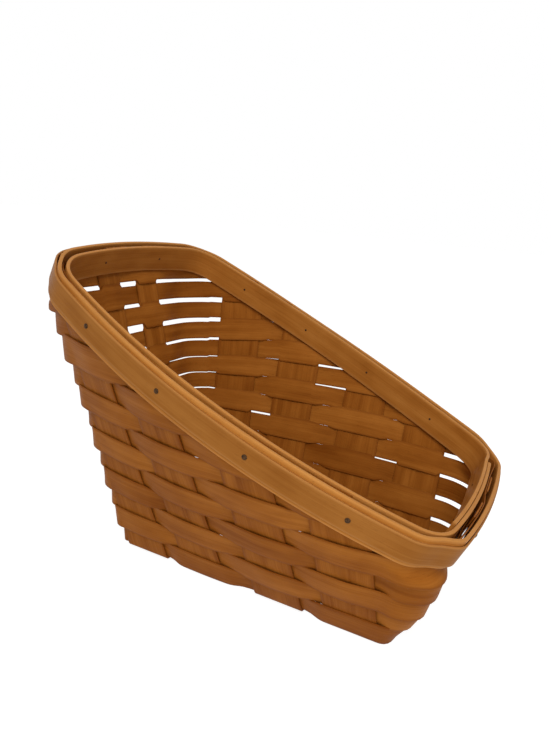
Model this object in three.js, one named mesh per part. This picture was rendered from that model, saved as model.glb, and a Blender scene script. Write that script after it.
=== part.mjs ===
// A woven splint basket with a sloping rim, standing on z = 0.
// Millimetres, +Z up, +X towards the short end, -Y the near long side.
// Four cross stakes and two lengthwise stakes are woven together in the base and turn up into
// the walls. Flat weavers go round them in rows, and bent wooden bands grip the upper ends.

import * as THREE from 'three';

// Base
const BASE_TALL_REACH = 107.5;
const BASE_SHORT_REACH = 112;
const BASE_WIDTH = 107;
const BASE_TALL_CORNER = 3;
const BASE_SHORT_CORNER = 9;

// Rim line: the top edge of the inner band, along its inside face
const TALL_HEIGHT = 222;
const SHORT_HEIGHT = 98.5;
const TALL_REACH = 144.5;
const SHORT_REACH = 137.5;
const TALL_HALF_WIDTH = 85;
const SHORT_HALF_WIDTH = 77;
const SIDE_BOW = 23.5;
const TALL_BOW = 5.5;
const SHORT_BOW = 3.5;
const TALL_NEAR_CORNER = 24;
const TALL_FAR_CORNER = 16;
const SHORT_NEAR_CORNER = 15;
const SHORT_FAR_CORNER = 19;
const RIM_DIP = 4.7;
const FAR_RISE = 1;
const CORNER_PULL = 0.62;

// How much closer the bands come at the corners, where no stake stands
const TALL_PINCH = 2;
const SHORT_PINCH = 2.2;

// Bands round the rim
const INNER_BAND_HEIGHT = 22.2;
const INNER_BAND_THICKNESS = 2.4;
const OUTER_BAND_HEIGHT = 22.2;
const OUTER_BAND_THICKNESS = 2.4;
const TRIM_HEIGHT = 15.9;
const TRIM_THICKNESS = 1.4;
const TRIM_DROP = 3.2;

// Stations of the bands in each lap, and in the stretch that eases the band back after it
const INNER_LAP = 6;
const TRIM_LAP = 3;
const LAP_EASE = 3;

// Splints
const STAKE_THICKNESS = 1.0;
const CROSS_STAKE_WIDTH = 37;
const CROSS_CENTRES = [-84.5, -32, 29, 83];
const FIRST_LEAN = -0.12;
const LAST_LEAN = -0.02;
const LONG_STAKE_WIDTH = 24.5;
const LONG_STAKE_GAP = 19.5;
const LONG_LEAN = 0.028;
const WEAVER_THICKNESS = 0.8;
const ROW_PITCH = 16;
const ROW_SLIT = 0.8;
const FIRST_ROW = 3;

// The weavers swell out at the corners, most in the first rows under the bands, and not at the base
const CORNER_SWELL = 6;
const SWELL_START = 12;
const SWELL_FADE_START = 50;
const SWELL_FADE_END = 100;
const LOW_SWELL = 0.3;
const SWELL_FULL_HEIGHT = 30;

// Fits
const CLEARANCE = 0.3;
const WEAVE_CLEARANCE = 0.5;
const BAND_CLEARANCE = 0.6;
const EDGE_MARGIN = 1.8;
const END_CUT = 1.5;
const SHORTEST_END = 3;
const BEND_LENGTH = 1.6;
const LEAST_STEP = 1;

// Tacks
const TACK_RADIUS = 1.7;
const TACK_HEIGHT = 0.8;
const TACK_SHOULDER_RADIUS = 1.2;
const TACK_SHOULDER_HEIGHT = 0.6;
const TACK_SPACING = 60;
const END_TACKS = 2;

// How finely curves are followed
const CORNER_STATIONS = [0.1, 0.37, 0.63, 0.9];
const BEND_SHARES = [0.3, 0.65, 1];
const SIDE_STEPS = 14;
const END_STEPS = 5;
const CORNER_STEPS = 5;
const TACK_SIDES = 10;
const TANGENT_STEP = 0.001;
const PLACE_PASSES = 4;
const HEIGHT_PASSES = 8;
const HALVINGS = 30;

// Finish
const splintFinish = { color: 0x9a5d28, roughness: 0.5, metalness: 0 };
const bandFinish = { color: 0xa7682f, roughness: 0.45, metalness: 0 };
const tackFinish = { color: 0x6b5440, roughness: 0.4, metalness: 0.8 };

// Sizes that follow
const WEAVE_RISE = STAKE_THICKNESS / 2 + WEAVE_CLEARANCE + WEAVER_THICKNESS / 2;
const WEAVE_SPACE = 2 * (WEAVE_RISE + WEAVER_THICKNESS / 2 + BAND_CLEARANCE);
const WALL_OFFSET = INNER_BAND_THICKNESS + WEAVE_SPACE / 2;
const OUTER_BAND_OFFSET = INNER_BAND_THICKNESS + WEAVE_SPACE + OUTER_BAND_THICKNESS / 2;
const TRIM_OFFSET = OUTER_BAND_OFFSET + OUTER_BAND_THICKNESS / 2 + CLEARANCE + TRIM_THICKNESS / 2;
const RIM_SLOPE = (TALL_HEIGHT - SHORT_HEIGHT) / (TALL_REACH + SHORT_REACH);
const RIM_MIDDLE = (SHORT_REACH - TALL_REACH) / 2;
const RIM_HALF_LENGTH = (SHORT_REACH + TALL_REACH) / 2;
const BAND_UP = new THREE.Vector3(RIM_SLOPE, 0, 1).normalize();
const GRIP_HEIGHT = Math.max(INNER_BAND_HEIGHT, OUTER_BAND_HEIGHT);
const LOW_LEVEL = STAKE_THICKNESS / 2;
const HIGH_LEVEL = LOW_LEVEL + STAKE_THICKNESS + CLEARANCE;

const lerp = THREE.MathUtils.lerp;
const clamp = THREE.MathUtils.clamp;

// Height of the rim line over a point of the plan
function rimTop({ x, y }) {
  const u = (x - RIM_MIDDLE) / RIM_HALF_LENGTH;
  const sloped = TALL_HEIGHT - RIM_SLOPE * (x + TALL_REACH) - RIM_DIP * Math.max(0, 1 - u * u);
  return sloped + FAR_RISE * (y / (TALL_HALF_WIDTH + SHORT_HALF_WIDTH) + 0.5);
}

// Half width of the rim at x, offset outwards from the inner band's inside face
function rimHalf(x, offset) {
  const u = (x - RIM_MIDDLE) / RIM_HALF_LENGTH;
  const taper = (SHORT_HALF_WIDTH - TALL_HALF_WIDTH) / 2;
  const slope = (taper - 2 * SIDE_BOW * u) / RIM_HALF_LENGTH;
  const middle = (TALL_HALF_WIDTH + SHORT_HALF_WIDTH) / 2;
  return middle + taper * u + SIDE_BOW * (1 - u * u) + offset * Math.hypot(1, slope);
}

// The two ends of the basket: sign of x, and the sizes that differ
const tallEnd = {
  sign: -1,
  reach: TALL_REACH,
  halfWidth: TALL_HALF_WIDTH,
  corner: (side) => (side < 0 ? TALL_NEAR_CORNER : TALL_FAR_CORNER),
  bow: TALL_BOW,
  baseReach: BASE_TALL_REACH,
  baseCorner: BASE_TALL_CORNER,
};
const shortEnd = {
  sign: 1,
  reach: SHORT_REACH,
  halfWidth: SHORT_HALF_WIDTH,
  corner: (side) => (side < 0 ? SHORT_NEAR_CORNER : SHORT_FAR_CORNER),
  bow: SHORT_BOW,
  baseReach: BASE_SHORT_REACH,
  baseCorner: BASE_SHORT_CORNER,
};
const sideStart = (side) => -TALL_REACH + tallEnd.corner(side);
const sideEnd = (side) => SHORT_REACH - shortEnd.corner(side);

// Rim line of a long side, fraction 0 at the tall end
function rimSide(side, fraction, offset) {
  const x = lerp(sideStart(side), sideEnd(side), fraction);
  return new THREE.Vector2(x, side * rimHalf(x, offset));
}

// Rim line of an end, fraction 0 on the near side
function rimEnd(end, fraction, offset) {
  const first = end.corner(-1) - end.halfWidth;
  const last = end.halfWidth - end.corner(1);
  const y = lerp(first, last, fraction);
  const v = 2 * fraction - 1;
  const slope = 4 * end.bow * v / (last - first);
  const reach = end.reach + end.bow * (1 - v * v) + offset * Math.hypot(1, slope);
  return new THREE.Vector2(end.sign * reach, y);
}

// Smooth corner from a long side (fraction 0) to an end (fraction 1)
function rounded(start, startWay, finish, finishWay, fraction) {
  const cross = startWay.x * finishWay.y - startWay.y * finishWay.x;
  const gap = finish.clone().sub(start);
  const run = (gap.x * finishWay.y - gap.y * finishWay.x) / cross;
  const meet = start.clone().addScaledVector(startWay, run);
  const curve = new THREE.CubicBezierCurve(
    start, start.clone().lerp(meet, CORNER_PULL), finish.clone().lerp(meet, CORNER_PULL), finish,
  );
  return curve.getPoint(fraction);
}

function rimCorner(end, side, fraction, offset) {
  const nearFraction = end.sign < 0 ? 0 : 1;
  const start = rimSide(side, nearFraction, offset);
  const startWay = start.clone().sub(rimSide(side, nearFraction - end.sign * TANGENT_STEP, offset));
  const sideFraction = side < 0 ? 0 : 1;
  const finish = rimEnd(end, sideFraction, offset);
  const finishWay = finish.clone().sub(rimEnd(end, sideFraction - side * TANGENT_STEP, offset));
  return rounded(start, startWay, finish, finishWay, fraction);
}

// Base line of the same stretches
function baseSide(side, fraction) {
  const x = lerp(BASE_TALL_CORNER - BASE_TALL_REACH, BASE_SHORT_REACH - BASE_SHORT_CORNER, fraction);
  return new THREE.Vector2(x, side * BASE_WIDTH / 2);
}

function baseEnd(end, fraction) {
  const half = BASE_WIDTH / 2 - end.baseCorner;
  return new THREE.Vector2(end.sign * end.baseReach, lerp(-half, half, fraction));
}

function baseCorner(end, side, fraction) {
  const angle = fraction * Math.PI / 2;
  const x = end.baseReach - end.baseCorner * (1 - Math.sin(angle));
  const y = BASE_WIDTH / 2 - end.baseCorner * (1 - Math.cos(angle));
  return new THREE.Vector2(end.sign * x, side * y);
}

// The eight stretches of a hoop, in order round the basket from the near side's tall end
const stretches = [
  { rim: (f, o) => rimSide(-1, f, o), base: (f) => baseSide(-1, f) },
  {
    rim: (f, o) => rimCorner(shortEnd, -1, f, o),
    base: (f) => baseCorner(shortEnd, -1, f),
    pinch: SHORT_PINCH,
  },
  { rim: (f, o) => rimEnd(shortEnd, f, o), base: (f) => baseEnd(shortEnd, f) },
  {
    rim: (f, o) => rimCorner(shortEnd, 1, 1 - f, o),
    base: (f) => baseCorner(shortEnd, 1, 1 - f),
    pinch: SHORT_PINCH,
  },
  { rim: (f, o) => rimSide(1, 1 - f, o), base: (f) => baseSide(1, 1 - f) },
  {
    rim: (f, o) => rimCorner(tallEnd, 1, f, o),
    base: (f) => baseCorner(tallEnd, 1, f),
    pinch: TALL_PINCH,
  },
  { rim: (f, o) => rimEnd(tallEnd, 1 - f, o), base: (f) => baseEnd(tallEnd, 1 - f) },
  {
    rim: (f, o) => rimCorner(tallEnd, -1, 1 - f, o),
    base: (f) => baseCorner(tallEnd, -1, 1 - f),
    pinch: TALL_PINCH,
  },
];
const [NEAR, , SHORT, , FAR, , TALL] = stretches.keys();
const CORNERS = [1, 3, 5, 7];

// Point on the rim line, dropped below it along the bands
function rimPoint(stretch, fraction, offset, drop) {
  const pinch = (stretches[stretch].pinch ?? 0) * Math.sin(Math.PI * fraction) ** 2;
  const share = clamp((offset - INNER_BAND_THICKNESS) / WEAVE_SPACE, 0, 1);
  const plan = stretches[stretch].rim(fraction, offset - pinch * share);
  return new THREE.Vector3(plan.x, plan.y, rimTop(plan)).addScaledVector(BAND_UP, -drop);
}

// Point on the middle surface of the woven wall: straight from the base line to the foot of
// the bands, then up between the bands
function wallPoint(stretch, fraction, z) {
  const top = rimPoint(stretch, fraction, WALL_OFFSET, 0);
  const foot = rimPoint(stretch, fraction, WALL_OFFSET, GRIP_HEIGHT);
  if (z > foot.z) {
    return top.addScaledVector(BAND_UP, (z - top.z) / BAND_UP.z);
  }
  const base = stretches[stretch].base(fraction);
  return new THREE.Vector3(base.x, base.y, 0).lerp(foot, z / foot.z);
}

// Coordinate that runs along a wall: x on the long sides, y on the ends
const along = (stretch, point) => (stretch === NEAR || stretch === FAR ? point.x : point.y);

// Fraction of a wall at which the surface has a given coordinate at height z, kept on the wall
function wallFraction(stretch, coordinate, z) {
  const first = along(stretch, wallPoint(stretch, 0, z));
  const last = along(stretch, wallPoint(stretch, 1, z));
  let fraction = (coordinate - first) / (last - first);
  for (let pass = 0; pass < PLACE_PASSES; pass += 1) {
    const miss = coordinate - along(stretch, wallPoint(stretch, fraction, z));
    fraction += miss / (last - first);
  }
  return clamp(fraction, 0, 1);
}

// Where splint ends are cut off below the rim line, and where the bands' foot crosses
const cutHeight = (stretch, fraction) => rimPoint(stretch, fraction, WALL_OFFSET, 0).z - END_CUT;
const footHeight = (stretch, fraction) => rimPoint(stretch, fraction, WALL_OFFSET, GRIP_HEIGHT).z;

// Closed solid of even thickness about a grid of points: rows run along the strip, and level
// moves a row outwards from the surface
function stripGeometry(grid, thickness, closed, levels) {
  const rows = grid.length;
  const across = grid[0].length;
  const positions = [];
  for (let i = 0; i < rows; i += 1) {
    const before = grid[closed ? (i - 1 + rows) % rows : Math.max(i - 1, 0)];
    const after = grid[closed ? (i + 1) % rows : Math.min(i + 1, rows - 1)];
    for (let j = 0; j < across; j += 1) {
      const forward = after[j].clone().sub(before[j]);
      const up = grid[i][Math.min(j + 1, across - 1)].clone().sub(grid[i][Math.max(j - 1, 0)]);
      const out = forward.cross(up).normalize();
      const level = levels ? levels[i] : 0;
      for (const face of [level + thickness / 2, level - thickness / 2]) {
        const p = grid[i][j].clone().addScaledVector(out, face);
        positions.push(p.x, p.y, p.z);
      }
    }
  }
  const outer = (i, j) => ((i % rows) * across + j) * 2;
  const inner = (i, j) => outer(i, j) + 1;
  const indices = [];
  const quad = (a, b, c, d) => indices.push(a, b, c, a, c, d);
  const last = across - 1;
  for (let i = 0; i < (closed ? rows : rows - 1); i += 1) {
    for (let j = 0; j < last; j += 1) {
      quad(outer(i, j), outer(i + 1, j), outer(i + 1, j + 1), outer(i, j + 1));
      quad(inner(i, j), inner(i, j + 1), inner(i + 1, j + 1), inner(i + 1, j));
    }
    quad(outer(i, 0), inner(i, 0), inner(i + 1, 0), outer(i + 1, 0));
    quad(outer(i, last), outer(i + 1, last), inner(i + 1, last), inner(i, last));
  }
  if (!closed) {
    for (let j = 0; j < last; j += 1) {
      quad(outer(0, j), outer(0, j + 1), inner(0, j + 1), inner(0, j));
      quad(outer(rows - 1, j), inner(rows - 1, j), inner(rows - 1, j + 1), outer(rows - 1, j + 1));
    }
  }
  const geometry = new THREE.BufferGeometry();
  geometry.setAttribute('position', new THREE.Float32BufferAttribute(positions, 3));
  geometry.setIndex(indices);
  geometry.computeVertexNormals();
  return geometry;
}

const basket = new THREE.Group();

function addPiece(name, geometry, finish) {
  const mesh = new THREE.Mesh(geometry, new THREE.MeshStandardMaterial(finish));
  mesh.name = name;
  basket.add(mesh);
  return mesh;
}

// Stakes where they stand in the walls, in order round the basket, each with the coordinates
// of its two edges at a height
const lean = (i) => lerp(FIRST_LEAN, LAST_LEAN, i / (CROSS_CENTRES.length - 1));
function crossEdge(i, side, z) {
  return CROSS_CENTRES[i] + lean(i) * z + side * CROSS_STAKE_WIDTH / 2;
}
function longEdge(j, side, z) {
  const centre = (j === 0 ? -1 : 1) * (LONG_STAKE_GAP + LONG_STAKE_WIDTH) / 2;
  return centre + LONG_LEAN * z + side * LONG_STAKE_WIDTH / 2;
}
const crossIndices = [...CROSS_CENTRES.keys()];
const crossUpright = (stretch, i, way) => ({ stretch, edge: (side, z) => crossEdge(i, side, z), way });
const longUpright = (stretch, j, way) => ({ stretch, edge: (side, z) => longEdge(j, side, z), way });
const uprights = [
  ...crossIndices.map((i) => crossUpright(NEAR, i, 1)),
  ...[0, 1].map((j) => longUpright(SHORT, j, 1)),
  ...crossIndices.toReversed().map((i) => crossUpright(FAR, i, -1)),
  ...[1, 0].map((j) => longUpright(TALL, j, -1)),
];

// How far a row with its upper edge at height z swells out at a place in a corner
function cornerSwell(corner, fraction, z) {
  const depth = Math.min(footHeight(corner, 0), footHeight(corner, 1)) - z;
  const start = THREE.MathUtils.smoothstep(depth, 0, SWELL_START);
  const fade = THREE.MathUtils.smoothstep(depth, SWELL_FADE_START, SWELL_FADE_END);
  const above = THREE.MathUtils.smoothstep(z - ROW_PITCH, 0, SWELL_FULL_HEIGHT);
  return CORNER_SWELL * start * above * lerp(1, LOW_SWELL, fade) * Math.sin(Math.PI * fraction);
}

// Stations of a weaver row: where it is, as a fraction that depends on height, and how far
// the weaver stands outside the wall's middle surface there
function rowStations(row, high) {
  const stations = [];
  uprights.forEach((upright, n) => {
    const level = (row + n) % 2 === 0 ? WEAVE_RISE : -WEAVE_RISE;
    for (const place of [-1, 0, 1]) {
      const fraction = (z) => {
        const edge = upright.edge(place * upright.way, z) + place * upright.way * EDGE_MARGIN;
        const middle = (upright.edge(-1, z) + upright.edge(1, z)) / 2;
        return wallFraction(upright.stretch, place === 0 ? middle : edge, z);
      };
      stations.push({ stretch: upright.stretch, fraction, level });
    }
    const next = uprights[(n + 1) % uprights.length];
    if (next.stretch !== upright.stretch) {
      const corner = (upright.stretch + 1) % stretches.length;
      for (const share of CORNER_STATIONS) {
        const crossing = lerp(level, -level, THREE.MathUtils.smoothstep(share, 0, 1));
        const out = crossing + cornerSwell(corner, share, high);
        stations.push({ stretch: corner, fraction: () => share, level: out });
      }
    }
  });
  return stations;
}

// One weaver, cut off along the rim where its row runs up between the bands
function weaverGeometry(row) {
  const low = FIRST_ROW + (row - 1) * ROW_PITCH + ROW_SLIT / 2;
  const high = low + ROW_PITCH - ROW_SLIT;
  const middle = (low + high) / 2;
  const room = (s, f) => cutHeight(s, f) - low - SHORTEST_END;
  let stations = rowStations(row, high);
  const fits = (station) => room(station.stretch, station.fraction(middle)) > 0;
  const closed = stations.every(fits);
  if (!closed) {
    const firstIn = stations.findIndex((s, i) => fits(s) && !fits(stations.at(i - 1)));
    stations = [...stations.slice(firstIn), ...stations.slice(0, firstIn)];
    const count = stations.findIndex((s) => !fits(s));
    const kept = stations.slice(0, count);
    kept.unshift(endStation(kept[0], stations.at(-1), room, middle));
    kept.push(endStation(kept.at(-1), stations[count], room, middle));
    stations = kept;
  }
  stations = stations.flatMap((station, i) => {
    const next = stations[(i + 1) % stations.length];
    if (next.stretch !== station.stretch) return [station];
    return [station, ...kinkStations(station, next, low, high)];
  });
  const grid = stations.map(({ stretch, fraction }) => {
    const top = Math.min(high, cutHeight(stretch, fraction(high)));
    const foot = footHeight(stretch, fraction(middle));
    const waist = clamp(foot, low + LEAST_STEP, top - LEAST_STEP);
    return [low, waist, top].map((z) => wallPoint(stretch, fraction(z), z));
  });
  const levels = stations.map((station) => station.level);
  return stripGeometry(grid, WEAVER_THICKNESS, closed, levels);
}

// Stations where the foot of the bands crosses the row's lower or upper edge between two others
function kinkStations(a, b, low, high) {
  const found = [];
  for (const edge of [low, high]) {
    const start = footHeight(a.stretch, a.fraction(edge)) - edge;
    const finish = footHeight(b.stretch, b.fraction(edge)) - edge;
    if (start * finish < 0) {
      const share = start / (start - finish);
      const fraction = (z) => lerp(a.fraction(z), b.fraction(z), share);
      found.push({ stretch: a.stretch, fraction, level: lerp(a.level, b.level, share), share });
    }
  }
  return found.sort((first, second) => first.share - second.share);
}

// Station between two neighbours at which the row is just cut down to its shortest end
function endStation(inside, outside, room, middle) {
  let a = inside.fraction(middle);
  let b = outside.stretch === inside.stretch ? outside.fraction(middle) : Math.round(a);
  for (let pass = 0; pass < HALVINGS; pass += 1) {
    const halfway = (a + b) / 2;
    if (room(inside.stretch, halfway) > 0) a = halfway;
    else b = halfway;
  }
  const total = outside.fraction(middle) - inside.fraction(middle);
  const shift = a - inside.fraction(middle);
  const share = outside.stretch === inside.stretch && total !== 0 ? shift / total : 0;
  const level = lerp(inside.level, outside.level, clamp(share, 0, 1));
  return { stretch: inside.stretch, fraction: (z) => clamp(inside.fraction(z) + shift, 0, 1), level };
}

// Point of a stake's edge on a wall, and the height at which that edge meets a sloping line
const edgePoint = (wall, edge, z) => wallPoint(wall, wallFraction(wall, edge(z), z), z);

function meetHeight(wall, edge, line) {
  let z = 0;
  for (let pass = 0; pass < HEIGHT_PASSES; pass += 1) z = line(wall, wallFraction(wall, edge(z), z));
  return z;
}

// Path of a stake: up one wall, across the base at given levels, up the opposite wall
function stakeGeometry({ walls, edges, crossings, endLevels, basePoint }) {
  const grid = [];
  const wallRows = (wall, level, upwards) => {
    const start = level + BEND_LENGTH;
    const feet = edges.map((edge) => meetHeight(wall, edge, footHeight));
    const steps = Math.ceil((Math.max(...feet) - start) / ROW_PITCH);
    const rows = [];
    for (let step = 0; step <= steps; step += 1) {
      rows.push(edges.map((edge, j) => edgePoint(wall, edge, lerp(start, feet[j], step / steps))));
    }
    rows.push(edges.map((edge) => edgePoint(wall, edge, meetHeight(wall, edge, cutHeight))));
    return upwards ? rows : rows.toReversed();
  };
  const bend = (wallRow, wall, level, inwards) => {
    const rows = [];
    for (const share of BEND_SHARES) {
      rows.push(edges.map((edge, j) => {
        const corner = edgePoint(wall, edge, level);
        const flat = corner.clone().addScaledVector(inwards, BEND_LENGTH);
        return new THREE.QuadraticBezierCurve3(wallRow[j], corner, flat).getPoint(share);
      }));
    }
    return rows;
  };
  const down = wallRows(walls[0], endLevels[0], false);
  const up = wallRows(walls[1], endLevels[1], true);
  const inwards = basePoint(1, 0, 0).sub(basePoint(0, 0, 0)).normalize();
  grid.push(...down, ...bend(down.at(-1), walls[0], endLevels[0], inwards));
  for (const { at, level } of crossings) grid.push(edges.map((edge) => basePoint(at, edge(0), level)));
  const outwards = inwards.clone().negate();
  grid.push(...bend(up[0], walls[1], endLevels[1], outwards).toReversed(), ...up);
  return stripGeometry(grid, STAKE_THICKNESS, false);
}

// A stake is high over one neighbour and low under the next
const crossLevel = (i, j) => ((i + j) % 2 === 0 ? HIGH_LEVEL : LOW_LEVEL);
const longLevel = (i, j) => ((i + j) % 2 === 0 ? LOW_LEVEL : HIGH_LEVEL);

crossIndices.forEach((i) => {
  const crossings = [0, 1].flatMap((j) => [-1, 1].map((side) => (
    { at: longEdge(j, side, 0) + side * EDGE_MARGIN, level: crossLevel(i, j) }
  )));
  addPiece(`cross_stake_${i + 1}`, stakeGeometry({
    walls: [NEAR, FAR],
    edges: [1, 0, -1].map((side) => (z) => crossEdge(i, side, z)),
    crossings,
    endLevels: [crossLevel(i, 0), crossLevel(i, 1)],
    basePoint: (y, x, z) => new THREE.Vector3(x, y, z),
  }), splintFinish);
});

[0, 1].forEach((j) => {
  const crossings = crossIndices.flatMap((i) => [-1, 1].map((side) => (
    { at: crossEdge(i, side, 0) + side * EDGE_MARGIN, level: longLevel(i, j) }
  )));
  const inner = crossings.slice(1, -1);
  addPiece(j === 0 ? 'long_stake_near' : 'long_stake_far', stakeGeometry({
    walls: [TALL, SHORT],
    edges: [-1, 0, 1].map((side) => (z) => longEdge(j, side, z)),
    crossings: inner,
    endLevels: [longLevel(0, j), longLevel(crossIndices.length - 1, j)],
    basePoint: (x, y, z) => new THREE.Vector3(x, y, z),
  }), splintFinish);
});

// Weavers, as many rows as reach up between the bands at the tall end
const TOP_OF_WEAVE = cutHeight(TALL, 0.5);
const ROWS = Math.floor((TOP_OF_WEAVE - FIRST_ROW) / ROW_PITCH);
for (let row = 1; row <= ROWS; row += 1) {
  addPiece(`weaver_row_${row}`, weaverGeometry(row), splintFinish);
}

// Loop of stations for the bands
const bandStations = [];
stretches.forEach((_, stretch) => {
  const isCorner = CORNERS.includes(stretch);
  const isSide = stretch === NEAR || stretch === FAR;
  const steps = isCorner ? CORNER_STEPS : isSide ? SIDE_STEPS : END_STEPS;
  for (let step = 0; step < steps; step += 1) bandStations.push({ stretch, fraction: step / steps });
});

// A bent band. With a lap it runs on past its own start, and its start is moved over by one
// thickness: side is -1 for a start inside the finish and 1 for a start outside it.
function bandGeometry({ offset, thickness, height, drop, lap }) {
  const first = lap ? bandStations.findIndex((s) => s.stretch === lap.stretch) : 0;
  const turned = [...bandStations.slice(first), ...bandStations.slice(0, first)];
  const lapped = lap ? [...turned, ...turned.slice(0, lap.stations)] : turned;
  const grid = lapped.map(({ stretch, fraction }, i) => {
    const share = lap ? clamp((lap.stations - 1 + LAP_EASE - i) / LAP_EASE, 0, 1) : 0;
    const moved = lap ? lap.side * share * (thickness + CLEARANCE) : 0;
    return [height, 0].map((down) => rimPoint(stretch, fraction, offset + moved, drop + down));
  });
  return stripGeometry(grid, thickness, !lap);
}

addPiece('inner_band', bandGeometry({
  offset: INNER_BAND_THICKNESS / 2,
  thickness: INNER_BAND_THICKNESS,
  height: INNER_BAND_HEIGHT,
  drop: 0,
  lap: { stretch: SHORT, side: -1, stations: INNER_LAP },
}), bandFinish);
addPiece('outer_band', bandGeometry({
  offset: OUTER_BAND_OFFSET,
  thickness: OUTER_BAND_THICKNESS,
  height: OUTER_BAND_HEIGHT,
  drop: 0,
}), bandFinish);
addPiece('trim_band', bandGeometry({
  offset: TRIM_OFFSET,
  thickness: TRIM_THICKNESS,
  height: TRIM_HEIGHT,
  drop: TRIM_DROP,
  lap: { stretch: TALL + 1, side: 1, stations: TRIM_LAP },
}), bandFinish);

// Tack heads, seated on the trim band
function tackGeometry() {
  const profile = [
    new THREE.Vector2(0, 0),
    new THREE.Vector2(TACK_RADIUS, 0),
    new THREE.Vector2(TACK_SHOULDER_RADIUS, TACK_SHOULDER_HEIGHT),
    new THREE.Vector2(0, TACK_HEIGHT),
  ];
  return new THREE.LatheGeometry(profile, TACK_SIDES);
}

function addTack(name, stretch, fraction) {
  const seat = TRIM_OFFSET + TRIM_THICKNESS / 2 + CLEARANCE;
  const drop = TRIM_DROP + TRIM_HEIGHT / 2;
  const place = rimPoint(stretch, fraction, seat, drop);
  const ahead = rimPoint(stretch, fraction + TANGENT_STEP, seat, drop);
  const out = ahead.sub(place).cross(BAND_UP).normalize();
  const tack = addPiece(name, tackGeometry(), tackFinish);
  tack.position.copy(place);
  tack.quaternion.setFromUnitVectors(new THREE.Vector3(0, 1, 0), out);
}

const SIDE_TACKS = Math.round((sideEnd(-1) - sideStart(-1)) / TACK_SPACING);
for (let n = 0; n < SIDE_TACKS; n += 1) {
  addTack(`tack_near_${n + 1}`, NEAR, (n + 0.5) / SIDE_TACKS);
  addTack(`tack_far_${n + 1}`, FAR, (n + 0.5) / SIDE_TACKS);
}
for (let n = 0; n < END_TACKS; n += 1) {
  addTack(`tack_short_${n + 1}`, SHORT, (n + 0.5) / END_TACKS);
  addTack(`tack_tall_${n + 1}`, TALL, (n + 0.5) / END_TACKS);
}

// The origin is the middle of the whole basket's footprint
const reach = new THREE.Box3().setFromObject(basket);
basket.position.set(-(reach.min.x + reach.max.x) / 2, -(reach.min.y + reach.max.y) / 2, 0);

export default basket;
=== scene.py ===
import math

import bpy
import numpy as np
from mathutils import Matrix, Vector


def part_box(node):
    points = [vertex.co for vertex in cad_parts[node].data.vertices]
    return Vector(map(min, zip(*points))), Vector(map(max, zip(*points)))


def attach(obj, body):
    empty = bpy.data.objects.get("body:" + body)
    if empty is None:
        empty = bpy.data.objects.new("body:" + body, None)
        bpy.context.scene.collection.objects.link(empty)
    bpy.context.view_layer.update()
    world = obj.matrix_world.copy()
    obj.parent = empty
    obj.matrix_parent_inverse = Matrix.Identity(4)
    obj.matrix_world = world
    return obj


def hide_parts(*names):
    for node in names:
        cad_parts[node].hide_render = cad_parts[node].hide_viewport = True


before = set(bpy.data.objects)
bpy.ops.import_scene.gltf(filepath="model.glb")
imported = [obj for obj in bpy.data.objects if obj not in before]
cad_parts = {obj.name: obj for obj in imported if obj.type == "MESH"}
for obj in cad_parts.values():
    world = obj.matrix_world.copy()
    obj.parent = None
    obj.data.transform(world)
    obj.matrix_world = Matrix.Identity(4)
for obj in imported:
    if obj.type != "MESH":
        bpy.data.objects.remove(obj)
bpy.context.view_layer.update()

# A woven splint basket with a sloping rim. Sizes are in millimetres until a mesh is made.
# +X points towards the short end and -Y towards the near long side.
MM = 0.001

# Base and rim line, the same as the construction's
BASE_TALL_REACH = 107.5
BASE_SHORT_REACH = 112
BASE_WIDTH = 107
BASE_TALL_CORNER = 3
BASE_SHORT_CORNER = 9
TALL_HEIGHT = 222
SHORT_HEIGHT = 98.5
TALL_REACH = 144.5
SHORT_REACH = 137.5
TALL_HALF_WIDTH = 85
SHORT_HALF_WIDTH = 77
SIDE_BOW = 23.5
TALL_BOW = 5.5
SHORT_BOW = 3.5
TALL_NEAR_CORNER = 24
TALL_FAR_CORNER = 16
SHORT_NEAR_CORNER = 15
SHORT_FAR_CORNER = 19
CORNER_PULL = 0.62
RIM_DIP = 4.7
FAR_RISE = 1
TANGENT_STEP = 0.001

# How much closer the outer band comes to the inner band at the corners
TALL_PINCH = 2
SHORT_PINCH = 3.1

# Bands. A lap's start is a place round the hoop, and the other sizes of a lap are lengths.
BAND_HEIGHT = 22.2
BAND_THICKNESS = 2.4
TRIM_HEIGHT = 15.9
TRIM_THICKNESS = 1.4
TRIM_DROP = 3.2
TRIM_FIT = 0.15
INNER_LAP_START = 2.05
INNER_LAP = 110
TRIM_LAP_START = 7
TRIM_LAP = 14
LAP_SPARE = 1
LAP_RAMP = 22
BAND_ROUNDING = 0.45
BAND_COLUMNS = 13
BAND_WOBBLE = 0.25
BAND_WAVES = 7
BAND_BOW = 0.04
BAND_BOW_WAVES = 11

# Splints
STAKE_THICKNESS = 1.0
CROSS_STAKE_WIDTH = 37
CROSS_CENTRES = (-84.5, -32, 29, 83)
FIRST_LEAN = -0.12
LAST_LEAN = -0.02
LONG_STAKE_WIDTH = 24.5
LONG_STAKE_GAP = 19.5
LONG_LEAN = 0.028
WEAVER_THICKNESS = 0.8
ROW_PITCH = 16
FIRST_ROW = 3
ROWS = 13
END_CUT = 1.5
SHORTEST_END = 3
WALL_SPACE = 4.8
CLEARANCE = 0.3
EDGE_MARGIN = 1.8
BEND_LENGTH = 1.8
BEND_SHARES = (0.2, 0.4, 0.6, 0.8, 1.0)
SPLINT_ROUNDING = 0.3
SPLINT_COLUMNS = 11

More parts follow.
